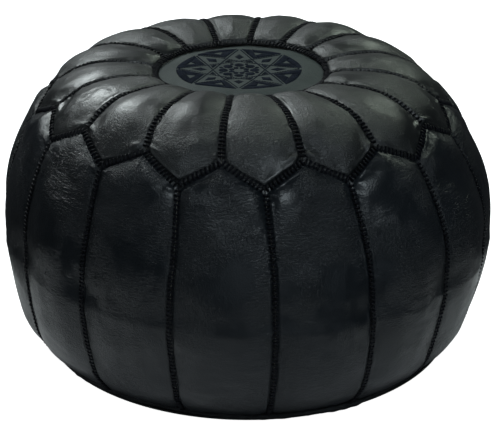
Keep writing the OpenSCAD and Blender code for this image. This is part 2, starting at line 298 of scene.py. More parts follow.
class Panel:
    """One leather piece as a map from (u, v) to a place on the cushion.

    u runs across from seam to seam and v from the top edge to the bottom one."""

    def __init__(self, k, is_petal):
        self.k, self.is_petal = k, is_petal
        self.angle = valley_angle(k) if is_petal else peak_angle(k)
        seed = (100 if is_petal else 200) + k
        rng = np.random.default_rng(seed)
        self.crown = (PETAL_CROWN if is_petal else SIDE_CROWN) * rng.uniform(0.8, 1.2)
        self.lean = rng.uniform(-0.25, 0.25)
        self.reach = PETAL_REACH if is_petal else SIDE_REACH
        self.pucker = [Waves(seed * 7 + n, 8.5, 10) for n in range(2)]
        self.dents = Waves(seed * 11, 66 if is_petal else 95, 12)
        # Wrinkles run one way over a whole piece: up and down, or round the cushion
        upright = rng.uniform() < 0.4
        self.wrinkles = Waves(seed * 13, 9.0, 14, (1, 1, 0.2) if upright else (0.22, 0.22, 1))
        self.wrinkle_patch = Waves(seed * 17, 75, 10)
        self.lip_waves = Waves(seed * 19, 26, 8)
        self.ridges = rng.uniform(0.35, 1.1, 2)
        self.dimples = rng.uniform(-0.6, 2.4 if is_petal else 1.2, 2).clip(0)

    def s(self, u, v):
        """How far down the outline the place (u, v) lies."""
        a = np.abs(u)
        if self.is_petal:
            return (VALLEY_S + (PEAK_S - VALLEY_S) * a) * v
        top = PEAK_S + (VALLEY_S - PEAK_S) * a
        above = top + (CREASE_S - top) * (v / CREASE_V)
        below = CREASE_S + (BASE_S - CREASE_S) * (v - CREASE_V) / (1 - CREASE_V)
        return np.where(v <= CREASE_V, above, below)

    def edge_distances(self, u, v):
        """Distances over the leather to the nearer side seam, the top edge and the bottom one."""
        s = self.s(u, v)
        half_width = curve(s)[..., 0] * HALF
        to_side = (1 - np.abs(u)) * half_width
        to_top = (s - self.s(u, 0 * v)) * PITCH
        to_bottom = (self.s(u, 0 * v + 1) - s) * PITCH
        if self.is_petal:
            to_bottom = to_bottom * math.cos(ZIGZAG_SLOPE)
        else:
            to_top = to_top * math.cos(ZIGZAG_SLOPE)
        return to_side, to_top, to_bottom

    def height(self, u, v, fine=True):
        side, top, bottom = self.edge_distances(u, v)
        d = np.maximum(soft_min([side, top, bottom]), 0)
        beyond = np.maximum(d - SEAM_FLAT, 0)
        full = smooth(d / self.reach) * (1 + self.lean * u)
        bulge = roll(beyond) * EDGE_HEIGHT + self.crown * full
        if self.is_petal:
            # Full where the petal dives to the medallion
            bulge = bulge + NECK_FULL * roll(np.minimum(beyond, top * 0.9)) * np.exp(-top / 42)
        else:
            # Fullest a little under the zigzag, where the side rolls over to the top
            brow = hump(top, 17, 13) * rise(side, 0, 14) * rise(top, 0, 14)
            bulge = bulge + BROW_FULL * brow
        if not fine:
            return bulge
        flat = place(self.s(u, v), self.angle + u * HALF, 0)
        corner = np.exp(-(side + (bottom if self.is_petal else top)) / 20)
        near = np.exp(-np.maximum(d - 3, 0) / 5.5) * rise(d, 1.0, 3)
        pucker = np.where(u < 0, self.pucker[0](flat), self.pucker[1](flat))
        pucker = pucker * (0.13 + 0.5 * corner) * near
        # A short sharp fold runs into each corner of the zigzag
        end = bottom if self.is_petal else top
        ridge = np.where(u < 0, self.ridges[0], self.ridges[1]) * np.exp(
            -((end - 6.6 - 0.15 * side) / 2.5) ** 2 - ((side - 9) / 7.5) ** 2)
        pucker = pucker + RIDGE * ridge
        # A soft dimple near some corners, where the leather is drawn in
        dimple = np.where(u < 0, self.dimples[0], self.dimples[1]) * np.exp(
            -((end - 17) / 9) ** 2 - ((side - 13) / 8) ** 2)
        pucker = pucker - dimple
        dent = self.dents(flat) * (PETAL_DENT if self.is_petal else SIDE_DENT) * rise(d, 4, 24)
        patch = smooth(self.wrinkle_patch(flat) - 0.2)
        wrinkle = self.wrinkles(flat) * WRINKLE * patch * rise(d, 3, 9)
        tuck = -SEAM_TUCK * hump(d, 0, 1.1)
        # The braid pulls the leather up into a thin lip beside it
        lip = LIP * hump(d, 4.4, 0.95) * (1 + 0.6 * self.lip_waves(flat))
        return bulge + pucker + dent + wrinkle + tuck + lip

    def points(self, u, v, fine=True, extra=None):
        gap = -SEAM_GAP * np.sign(u) * (np.abs(u) > 0.999)
        h = self.height(u, v, fine)
        base = place(self.s(u, v), self.angle + u * HALF, h, gap)
        if extra is not None:
            base = base + extra
        return base


PANELS = [Panel(k, True) for k in range(SEGMENTS)] + [Panel(k, False) for k in range(SEGMENTS)]
# Share of a side panel's rows that lie above its crease
CREASE_V = 0.6
# Columns and rows of a piece's net, for a petal (True) and for a side panel (False)
SIM_SIZE = {True: (15, 25), False: (17, 37)}
FINE_SIZE = {True: (57, 95), False: (61, 145)}
SIM_FRAMES = 20
MAX_MOVE = 3.0


def net_places(columns, rows, is_petal):
    """Where a net's columns and rows lie in u and v. A side panel has a row on its crease."""
    if is_petal:
        return spread(columns), (spread(rows) + 1) / 2
    upper = int(round((rows - 1) * CREASE_V))
    above = np.linspace(0, 1, upper + 1)
    below = np.linspace(0, 1, rows - upper)
    above = 1 - (0.6 * (1 - above) + 0.4 * np.sin((1 - above) * math.pi / 2))
    below = 0.6 * below + 0.4 * np.sin(below * math.pi / 2)
    v = np.concatenate([above * CREASE_V, CREASE_V + below[1:] * (1 - CREASE_V)])
    return spread(columns), v


def uv_net(columns, rows, is_petal):
    across, down = net_places(columns, rows, is_petal)
    v, u = np.meshgrid(down, across, indexing="ij")
    return u, v


def simulate_leather():
    """Blows all the panels up as cloth pinned along their seams, for a little uneven slack on
    top of the bulge that height() gives. Returns each coarse net's moves, in mm."""
    points, faces, pins, spans = [], [], [], []
    start = 0
    for panel in PANELS:
        columns, rows = SIM_SIZE[panel.is_petal]
        u, v = uv_net(columns, rows, panel.is_petal)
        net = panel.points(u, v, fine=False).reshape(-1, 3)
        points.append(net)
        faces += net_faces(columns, rows, start)
        edge = (np.abs(u) > 0.999) | (v < 0.001) | (v > 0.999)
        pins += (np.flatnonzero(edge.ravel()) + start).tolist()
        spans.append((start, start + len(net), rows, columns))
        start += len(net)
    rest = np.concatenate(points)
    obj = mesh_object("leather_cloth", rest, faces)
    group = obj.vertex_groups.new(name="seams")
    group.add(pins, 1.0, "REPLACE")
    cloth = obj.modifiers.new("cloth", "CLOTH")
    settings = cloth.settings
    settings.quality = 6
    settings.mass = 0.4
    settings.tension_stiffness = 25
    settings.compression_stiffness = 18
    settings.shear_stiffness = 12
    settings.bending_stiffness = 8.0
    settings.shrink_min = -0.006
    settings.vertex_group_mass = "seams"
    settings.use_pressure = True
    settings.uniform_pressure_force = 3.0
    settings.effector_weights.gravity = 0
    cloth.collision_settings.use_collision = False
    cloth.collision_settings.use_self_collision = False
    cloth.point_cache.frame_start = 1
    cloth.point_cache.frame_end = SIM_FRAMES
    scene = bpy.context.scene
    for step in range(1, SIM_FRAMES + 1):
        scene.frame_set(step)
    shape = obj.evaluated_get(bpy.context.evaluated_depsgraph_get()).to_mesh()
    out = np.empty(len(rest) * 3)
    shape.vertices.foreach_get("co", out)
    moved = out.reshape(-1, 3) / MM - rest
    bpy.data.objects.remove(obj)
    scene.frame_set(1)
    far = np.linalg.norm(moved, axis=1, keepdims=True)
    moved *= MAX_MOVE * np.tanh(far / MAX_MOVE) / np.maximum(far, 1e-9)
    return [relax(moved[a:b].reshape(rows, columns, 3)) for a, b, rows, columns in spans]


def relax(net, rounds=3):
    """Evens out ripples as small as the coarse net's own cells, leaving its border alone."""
    for _ in range(rounds):
        inside = net[1:-1, 1:-1]
        beside = (net[:-2, 1:-1] + net[2:, 1:-1] + net[1:-1, :-2] + net[1:-1, 2:]) / 4
        net = net.copy()
        net[1:-1, 1:-1] = inside * 0.4 + beside * 0.6
    return net


def resample(net, columns, rows, is_petal):
    """The coarse net's values at the finer net's places, smoothly between them."""
    def weights(coarse, fine):
        count = len(coarse)
        x = np.interp(fine, coarse, np.arange(count))
        i = np.clip(np.floor(x).astype(int), 0, count - 2)
        t = x - i
        w = np.zeros((len(fine), count))
        places = np.arange(len(fine))
        taps = [(-1, -t**3 / 2 + t**2 - t / 2), (0, 1.5 * t**3 - 2.5 * t**2 + 1),
                (1, -1.5 * t**3 + 2 * t**2 + t / 2), (2, t**3 / 2 - t**2 / 2)]
        for step, value in taps:
            np.add.at(w, (places, np.clip(i + step, 0, count - 1)), value)
        return w
    coarse = net_places(net.shape[1], net.shape[0], is_petal)
    fine = net_places(columns, rows, is_petal)
    return np.einsum("ai,bj,ijk->abk", weights(coarse[1], fine[1]),
                     weights(coarse[0], fine[0]), net)


def build_panels(material_of):
    moves = simulate_leather()
    for n, panel in enumerate(PANELS):
        columns, rows = FINE_SIZE[panel.is_petal]
        u, v = uv_net(columns, rows, panel.is_petal)
        extra = None if moves is None else resample(moves[n], columns, rows, panel.is_petal)
        points = settle(panel.points(u, v, extra=extra)).reshape(-1, 3)
        kind = "top_petal" if panel.is_petal else "side_panel"
        node = f"{kind}_{panel.k + 1:02d}"
        obj = mesh_object("leather_" + node, points, net_faces(columns, rows))
        solidify(obj, LEATHER)
        slot = "top_leather" if panel.is_petal else "side_leather"
        finish_piece(obj, material_of[slot], slot, BODY, node)


# ---- Braided stitching -----------------------------------
STITCH_PITCH = 4.2
BRAID_HALF = 3.3
BRAID_FOOT = 1.0
# From the zigzag's middle line to the end of a straight braid
BRAID_CLEAR = 3.4
SIDE_BRAID_WIDTH = 0.72
MEDALLION_BRAID_WIDTH = 1.2
MEDALLION_BRAID_LIFT = -0.8


def tube(path, radius, sides=6):
    """Points and faces of a closed tube along a path, with a radius at each of its points."""
    count = len(path)
    points = []
    for n, centre in enumerate(path):
        tangent = path[min(n + 1, count - 1)] - path[max(n - 1, 0)]
        tangent = tangent / np.linalg.norm(tangent)
        a = np.cross(tangent, (0.13, 0.09, 1.0))
        a /= np.linalg.norm(a)
        b = np.cross(tangent, a)
        for m in range(sides):
            w = 2 * math.pi * m / sides
            points.append(centre + (a * math.cos(w) + b * math.sin(w)) * radius[n])
    faces = [f[::-1] for f in net_faces(sides, count, wrap=True)]
    faces.append(list(reversed(range(sides))))
    faces.append([(count - 1) * sides + m for m in range(sides)])
    return np.array(points), faces


def stitch_parts():
    """One stitch in braid space (along, across, up): a fat rung over the seam, and a short knot
    of thinner thread at each end of it."""
    t = np.linspace(-1, 1, 7)
    rung = np.stack([0.35 * t, t * BRAID_HALF, BRAID_FOOT + 1.5 * (1 - t**4)], 1)
    parts = [tube(rung, 1.06 * np.array([0.5, 0.92, 1, 1, 1, 0.92, 0.5]))]
    for side in (-1, 1):
        t = np.linspace(0, 1, 5)
        knot = np.stack([side * 0.35 - 1.15 + 2.3 * t,
                         side * (BRAID_HALF - 0.65 + 0.3 * np.sin(t * math.pi)),
                         BRAID_FOOT + 0.25 + 0.5 * np.sin(t * math.pi)], 1)
        parts.append(tube(knot, 0.58 * np.array([0.6, 1, 1, 1, 0.6]), 5))
    return parts


STITCH = stitch_parts()


def stitch_along(frames, rng, width):
    """Points and faces of a ladder of stitches laid along frames."""
    spots, along, across, up = frames
    points, faces, start = [], [], 0
    for i in range(len(spots)):
        wide, tall = rng.normal(1, 0.05, 2) * (width, 1)
        for template, template_faces in STITCH:
            points.append(spots[i] + along[i] * template[:, :1]
                          + across[i] * template[:, 1:2] * wide
                          + up[i] * template[:, 2:3] * tall)
            faces += [[x + start for x in face] for face in template_faces]
            start += len(template)
    return np.concatenate(points), faces


def seam_frames(s, angle, lift):
    """Frames along a path over the outline given by arrays of s and angle, evenly spaced."""
    s, angle = np.asarray(s, float), np.asarray(angle, float)
    path = settle(place(s, angle, lift))
    length = np.concatenate([[0], np.cumsum(np.linalg.norm(np.diff(path, axis=0), axis=1))])
    count = max(2, int(round(length[-1] / STITCH_PITCH)))
    at = (np.arange(count) + 0.5) / count * length[-1]
    s_at, a_at = np.interp(at, length, s), np.interp(at, length, angle)
    ahead = np.interp(np.minimum(at + 1, length[-1]), length, s), np.interp(
        np.minimum(at + 1, length[-1]), length, angle)
    back = np.interp(np.maximum(at - 1, 0), length, s), np.interp(
        np.maximum(at - 1, 0), length, angle)
    p = settle(place(s_at, a_at, lift))
    along = settle(place(*ahead, lift)) - settle(place(*back, lift))
    along /= np.linalg.norm(along, axis=1, keepdims=True)
    down = settle(place(np.minimum(s_at + 0.02, BASE_S), a_at, 0.0)) - settle(
        place(np.maximum(s_at - 0.02, 0), a_at, 0.0))
    sideways = settle(place(s_at, a_at + 0.005, 0.0)) - settle(place(s_at, a_at - 0.005, 0.0))
    up = np.cross(down, sideways)
    up /= np.linalg.norm(up, axis=1, keepdims=True)
    across = np.cross(up, along)
    return p, along, across, up


def braid_object(name, paths, material, *nodes, lift=0.0, width=1.0):
    rng = np.random.default_rng(len(name))
    points, faces = [], []
    for s, angle in paths:
        frames = seam_frames(s, angle, lift)
        jitter = rng.normal(size=(len(frames[0]), 3)) * 0.1
        frames = (frames[0] + jitter, *frames[1:])
        p, f = stitch_along(frames, rng, width)
        offset = sum(len(q) for q in points)
        faces += [[x + offset for x in face] for face in f]
        points.append(p)
    obj = mesh_object(name, np.concatenate(points), faces)
    finish_piece(obj, material, "braid_thread", BODY, *nodes)


def build_braids(material):
    clear = BRAID_CLEAR / PITCH
    top = [(np.linspace(0.06, PEAK_S - clear, 60), np.full(60, peak_angle(k)))
           for k in range(SEGMENTS)]
    side = [(np.linspace(VALLEY_S + clear, BASE_S - 0.02, 90), np.full(90, valley_angle(k)))
            for k in range(SEGMENTS)]
    t = np.linspace(0, 1, 24)
    zigzag = []
    for k in range(SEGMENTS):
        zigzag.append((VALLEY_S + (PEAK_S - VALLEY_S) * t, valley_angle(k) + HALF * t))
        zigzag.append((PEAK_S + (VALLEY_S - PEAK_S) * t, peak_angle(k) + HALF * t))
    turn = np.linspace(0, 2 * math.pi, 400)
    ring = [(np.full(400, 0.02), turn)]
    braid_object("braid_top_seams", top, material, "top_seam_braids")
    braid_object("braid_zigzag", zigzag, material, "zigzag_braid")
    braid_object("braid_side_seams", side, material, "side_seam_braids",
                 width=SIDE_BRAID_WIDTH)
    braid_object("braid_medallion", ring, material, "medallion_braid",
                 lift=MEDALLION_BRAID_LIFT, width=MEDALLION_BRAID_WIDTH)


# ---- Medallion -------------------------------------------
MEDALLION_R = 85.2
MEDALLION_Z = 284.2
STAR_R = 63.5
STAR_POINTS = 8
STAR_REACH = STAR_R * math.cos(math.pi * 3 / STAR_POINTS)
STAR_TURN = CAMERA_AZIMUTH - math.pi / 2
STAR_SHIFT = -2.0
BAND = 4.0
medallion_lumps = Waves(31, 60)


def medallion_height(x, y):
    """Level under the embroidery, and falling away to the seam round it."""
    r = np.hypot(x, y)
    p = np.stack([x, y, 0 * x], -1)
    rim = -4.6 * smooth((r - 60) / 27)
    return MEDALLION_Z + rim + medallion_lumps(p) * 0.45


def build_medallion(leather):
    radii = np.concatenate([[0.5], np.linspace(3, MEDALLION_R, 44)])
    turn = np.linspace(0, 2 * math.pi, 120, endpoint=False)
    r, a = np.meshgrid(radii, turn, indexing="ij")
    x, y = r * np.cos(a), r * np.sin(a)
    points = settle(np.stack([x, y, medallion_height(x, y)], -1)).reshape(-1, 3)
    faces = net_faces(len(turn), len(radii), wrap=True)
    faces.append(list(range(len(turn))))
    obj = mesh_object("leather_medallion", points, faces)
    solidify(obj, LEATHER)
    finish_piece(obj, leather, "medallion_leather", BODY, "medallion")


def clip(polygon, normal, limit):
    """The part of a convex polygon where point . normal is at most limit."""
    out = []
    for n, p in enumerate(polygon):
        q = polygon[(n + 1) % len(polygon)]
        dp, dq = p @ normal - limit, q @ normal - limit
        if dp <= 0:
            out.append(p)
        if (dp < 0 < dq) or (dq < 0 < dp):
            out.append(p + (q - p) * (dp / (dp - dq)))
    return out


def turned(angle):
    return np.array((math.cos(angle), math.sin(angle)))


def star_angle(step):
    """Direction of a star tip, or of the gap between two tips for a half step."""
    return STAR_TURN + step * 2 * math.pi / STAR_POINTS


def star_cells():
    """Convex cells that the star's bands leave of its circle."""
    circle = np.linspace(0, 2 * math.pi, 96, endpoint=False)
    cells = [[turned(a) * STAR_R for a in circle]]
    for k in range(STAR_POINTS):
        normal = turned(star_angle(k + 0.5))
        split = []
        for cell in cells:
            for side in (clip(cell, normal, STAR_REACH - BAND / 2),
                         clip(cell, -normal, -STAR_REACH - BAND / 2)):
                if len(side) > 2:
                    split.append(side)
        cells = split
    return cells


def cut_out(polygon, hole):
    """Convex pieces of a convex polygon round a triangle left open in it."""
    pieces, rest = [], polygon
    middle = sum(hole) / len(hole)
    for p, q in zip(hole, hole[1:] + hole[:1]):
        e = q - p
        n = np.array((e[1], -e[0])) / np.linalg.norm(e)
        if (middle - p) @ n > 0:
            n = -n
        outside = clip(rest, -n, -(p @ n))
        if len(outside) > 2:
            pieces.append(outside)
        rest = clip(rest, n, p @ n)
    return pieces


def shrink(polygon, by):
    """A convex polygon pulled in from its edges."""
    area = sum(p[0] * q[1] - p[1] * q[0] for p, q in zip(polygon, polygon[1:] + polygon[:1]))
    turn = 1 if area > 0 else -1
    out = list(polygon)
    for p, q in zip(polygon, polygon[1:] + polygon[:1]):
        e = q - p
        if np.linalg.norm(e) < 1e-6:
            continue
        n = np.array((e[1], -e[0])) * turn / np.linalg.norm(e)
        out = clip(out, n, p @ n - by)
        if len(out) < 3:
            return []
    return out


SATIN_PITCH = 0.85
# Middles of the star's outer fields and of its tips
FIELD_R = 52.5
TIP_R = 38.5


def satin(polygon, way, height):
    """Rows of thread side by side across a convex polygon, as points and faces."""
    beside = np.array((-way[1], way[0]))
    across = np.array([p @ beside for p in polygon])
    points, faces = [], []
    count = max(1, int(round((across.max() - across.min()) / SATIN_PITCH)))
    pitch = (across.max() - across.min()) / count
    for n in range(count):
        at = across.min() + (n + 0.5) * pitch
        hits = []
        for p, q in zip(polygon, polygon[1:] + polygon[:1]):
            dp, dq = p @ beside - at, q @ beside - at
            if (dp < 0) != (dq < 0):
                hits.append((p + (q - p) * dp / (dp - dq)) @ way)
        if len(hits) < 2 or max(hits) - min(hits) < 0.6:
            continue
        steps = max(3, int((max(hits) - min(hits)) / 3.5) + 2)
        for m, t in enumerate(np.linspace(min(hits), max(hits), steps)):
            end = 0.35 if m in (0, steps - 1) else 1.0
            for side, up in ((-0.52, -0.25), (-0.3, 0.8 * end), (0.3, 0.8 * end), (0.52, -0.25)):
                p = way * t + beside * (at + side * pitch)
                points.append((p[0], p[1], float(medallion_height(p[0], p[1])) + up * height))
        start = len(points) - 4 * steps
        faces += [f[::-1] for f in net_faces(4, steps, start, wrap=True)]
        faces.append([start + 3, start + 2, start + 1, start])
        faces.append([start + 4 * (steps - 1) + m for m in range(4)])
    return points, faces


def build_embroidery(thread):
    """Satin stitch between the star's bands, a line along each band, and a rosette."""
    points, faces = [], []

    def add_patch(polygon, height, way=None):
        middle = sum(polygon) / len(polygon)
        way = middle / max(np.linalg.norm(middle), 1) if way is None else way
        p, f = satin(polygon, way, height)
        faces.extend([[x + len(points) for x in face] for face in f])
        points.extend(p)

    for cell in star_cells():
        middle = sum(cell) / len(cell)
        size = np.linalg.norm(middle)
        if size < 8:
            continue
        if size > 44:
            # Outer field: thread round a small triangle of bare leather
            out = middle / size
            beside = np.array((-out[1], out[0]))
            at = out * FIELD_R
            hole = [at - out * 5.2, at + out * 2.6 + beside * 5.0, at + out * 2.6 - beside * 5.0]
            for piece in cut_out(cell, hole):
                if len(shrink(piece, 0.3)) > 2:
                    add_patch(shrink(piece, 0.15), 0.9)
        elif size > 34:
            # Tip: bare leather with a spot of thread
            out = middle / size
            beside = np.array((-out[1], out[0]))
            at = out * TIP_R
            add_patch([at + out * 9.0, at + beside * 4.6, at - out * 6.4, at - beside * 4.6], 0.8)
        else:
            add_patch(shrink(cell, 0.1), 0.9)
    # A thin line of thread along the middle of each band
    half = math.sqrt(STAR_R**2 - STAR_REACH**2) - 2.5
    for k in range(STAR_POINTS):
        out = turned(star_angle(k + 0.5))
        beside = np.array((-out[1], out[0]))
        for n in range(40):
            lo, hi = (-half + 2 * half * (n + m) / 40 for m in (0.04, 0.96))
            line = [out * (STAR_REACH + w) + beside * t
                    for t, w in ((lo, -0.75), (hi, -0.75), (hi, 0.75), (lo, 0.75))]
            add_patch(line, 0.6, beside)
    # Rosette in the middle: three rings of petals
    for ring, reach, length, width in ((0, 15.8, 4.8, 4.6), (0.5, 19.6, 2.2, 1.6),
                                       (0.5, 8.0, 3.0, 2.4)):
        for k in range(STAR_POINTS):
            out = turned(star_angle(k + ring))
            beside = np.array((-out[1], out[0]))
            w = np.linspace(0, 2 * math.pi, 16, endpoint=False)
            add_patch([out * (reach + length * math.cos(t)) + beside * width * math.sin(t)
                       for t in w], 0.8)
    points = settle(np.array(points))
    points[:, 0] += STAR_SHIFT
    obj = mesh_object("thread_star", points, faces)
    finish_piece(obj, thread, "embroidery_thread", BODY, "medallion_embroidery")


# ---- Base and piping -------------------------------------
BASE_R = 213.0
PIPING_R = 210.6
PIPING_Z = 6.0
PIPING_TUBE = 3.6
PIPING_STEPS = 720
CORD_TUBE = 2.1
CORD_STRANDS = 3
piping_wave = Waves(51, 90)
piping_crinkle = Waves(52, 12)
piping_push = Waves(53, 110)


def piping_ring(name, thick, sides, strands=0):
    """A tube round the base seam, crinkled as leather is, or twisted where it has strands."""
    turn = np.linspace(0, 2 * math.pi, PIPING_STEPS, endpoint=False)
    around = np.linspace(0, 2 * math.pi, sides, endpoint=False)
    a, w = np.meshgrid(turn, around, indexing="ij")
    centre = np.stack([PIPING_R * np.cos(a), PIPING_R * np.sin(a), PIPING_Z + 0 * a], -1)
    lift = piping_wave(centre) * 1.1
    push = piping_push(centre) * 0.8
    if strands:
        r = thick * (1 + 0.09 * np.cos(strands * w + a * 150))
    else:
        r = thick + piping_crinkle(centre) * 0.25
    rr = PIPING_R + push + r * np.cos(w)
    z = PIPING_Z + 0.4 + lift * 0.6 + r * np.sin(w)
    points = np.stack([rr * np.cos(a), rr * np.sin(a), z], -1).reshape(-1, 3)
    i, j = np.meshgrid(np.arange(PIPING_STEPS), np.arange(sides), indexing="ij")
    i, j = i.ravel(), j.ravel()
    after = (i + 1) % PIPING_STEPS
    quads = np.stack([i * sides + j, after * sides + j,
                      after * sides + (j + 1) % sides,
                      i * sides + (j + 1) % sides], 1)
    return mesh_object(name, points, quads.tolist())


RECESS_END = 197.0
# Length over which the recess's end wall comes down
END_WALL = 3.5
RECESS_HALF = 22.0
LEDGE_HALF = 12.0
FOLD_HALF = 6.5
# The slit between the folds ends just past the zip's stops, over the ends of the tapes
FOLD_END = 178.0
# Half the gap that is left where the slit is closed
SLIT_CLOSED = 0.08
LEDGE_Z = 6.5
RIM_RISE = 3.4
base_lumps = Waves(61, 70)


def base_height(x, y):
    """Height of the base leather's underside, with the zip's recess and the turned-up rim."""
    r = np.hypot(x, y)
    recess = smooth((RECESS_HALF - np.abs(y)) / (RECESS_HALF - LEDGE_HALF))
    # A steep end wall leaves room for the pull tab when the slider is at its far end
    recess = recess * smooth((RECESS_END - np.abs(x)) / END_WALL)
    rim = RIM_RISE * smooth((r - BASE_R + 6) / 8.5) ** 1.5
    p = np.stack([x, y, 0 * x], -1)
    lumps = 0.35 * (base_lumps(p) + 1) * smooth((BASE_R - 8 - r) / 30)
    return np.maximum(LEDGE_Z * recess + rim + lumps, 0.05)


def build_base(material):
    outer = BASE_R + 2.0
    columns, rows = 181, 61
    for side, node in ((1, "base_half_back"), (-1, "base_half_front")):
        a = np.linspace(-1, 1, columns)
        x = outer * np.sin(a * math.pi / 2 * 0.995)
        start = SLIT_CLOSED + (FOLD_HALF - SLIT_CLOSED) * smooth((FOLD_END + 3 - np.abs(x)) / 6)
        end = np.sqrt(np.maximum(outer**2 - x**2, 0)) + 0.05
        start = np.minimum(start, end - 0.04)
        t = (1 - np.cos(np.linspace(0, 1, rows) * math.pi)) / 2
        y = start[None] + (end - start)[None] * t[:, None]
        xx = np.repeat(x[None], rows, 0)
        z = base_height(xx, y)
        points = np.stack([xx, y * side, z], -1).reshape(-1, 3)
        faces = net_faces(columns, rows)
        if side < 0:
            faces = [f[::-1] for f in faces]
        obj = mesh_object("leather_" + node, points, faces)
        solidify(obj, LEATHER)
        finish_piece(obj, material, "base_leather", BODY, node)


TAPE_INNER = 1.6
TAPE_OUTER = 16.0
TAPE_END = 184
TAPE_TOP = 8.8
TAPE_THICKNESS = 0.6
RIB_PITCH = 1.2
tape_sag = Waves(81, 60)


def build_zip_tape(name, side, material, node):
    """Woven tape with a fine rib along it, sagging a little towards its outer edge."""
    columns, rows = 240, 30
    across = np.linspace(TAPE_INNER, TAPE_OUTER, rows)
    along = np.linspace(-TAPE_END, TAPE_END, columns)
    x, y = np.meshgrid(along, across, indexing="xy")
    rib = 0.06 * np.cos((y - TAPE_INNER) * 2 * math.pi / RIB_PITCH)
    sag = 0.15 * tape_sag(np.stack([x, y * side, 0 * x], -1))
    z = TAPE_TOP + rib + np.clip(sag, -0.3, 0.3) * rise(y, 4, 8)
    points = np.stack([x, y * side, z], -1).reshape(-1, 3)
    faces = net_faces(columns, rows)
    faces = [f[::-1] for f in faces] if side > 0 else faces
    obj = mesh_object(name, points, faces)
    solidify(obj, TAPE_THICKNESS)
    finish_piece(obj, material, "zip_tape", BODY, node)


# ---- Filling ---------------------------------------------
def revolved(name, depth, floor_z, roof_z, lumps):
    """A closed bag at a depth inside the outline, flat at its floor and its roof."""
    sides, steps = 96, 48
    s = np.linspace(0, 12.6, steps)
    p, d = curve(s), slope(s)
    r = p[:, 0] + d[:, 1] * depth
    z = np.clip(p[:, 1] - d[:, 0] * depth, floor_z, roof_z)
    r = np.concatenate([[1.0, 40], r, [150, 60, 1.0]])
    z = np.concatenate([[roof_z, roof_z], z, [floor_z] * 3])
    turn = np.linspace(0, 2 * math.pi, sides, endpoint=False)
    rr, a = np.meshgrid(r, turn, indexing="ij")
    zz = np.repeat(z[:, None], sides, 1)
    points = np.stack([rr * np.cos(a), rr * np.sin(a), zz], -1)
    noise = Waves(71, lumps)
    points = settle(points)
    points[..., :2] *= (1 - 0.004 * (noise(points) + 1))[..., None]
    points[..., 2] = np.maximum(points[..., 2], floor_z)
    faces = net_faces(sides, len(r), wrap=True)
    faces.append(list(range(sides)))
    faces.append([(len(r) - 1) * sides + m for m in reversed(range(sides))])
    return mesh_object(name, points.reshape(-1, 3), faces)


# ---- Materials -------------------------------------------
def new_material(name):
    mat = bpy.data.materials.new(name)
    mat.use_nodes = True
    tree = mat.node_tree
    shader = tree.nodes["Principled BSDF"]
    return mat, tree, shader


def node(tree, kind, **values):
    """A new shader node, with its sockets or its settings given by name."""
    n = tree.nodes.new(kind)
    for key, value in values.items():
        if key in n.inputs.keys():
            n.inputs[key].default_value = value
        else:
            setattr(n, key, value)
    return n


def ramp(tree, source, stops):
    """The colour that a factor gives between stops, each of them a place and a colour."""
    n = tree.nodes.new("ShaderNodeValToRGB")
    elements = n.color_ramp.elements
    while len(elements) > 1:
        elements.remove(elements[-1])
    for m, (at, colour) in enumerate(stops):
        e = elements[0] if m == 0 else elements.new(at)
        e.position = at
        e.color = (*colour, 1)
    tree.links.new(source, n.inputs["Fac"])
    return n.outputs["Color"]


def grey(v):
    return (v, v, v)


# Stretch of the two sets of fine wrinkles, as the number of waves per metre along each axis
UPRIGHT_WRINKLES = ((150, 150, 520), (520, 520, 130))
TOP_WRINKLES = ((260, 560, 560), (600, 280, 560))


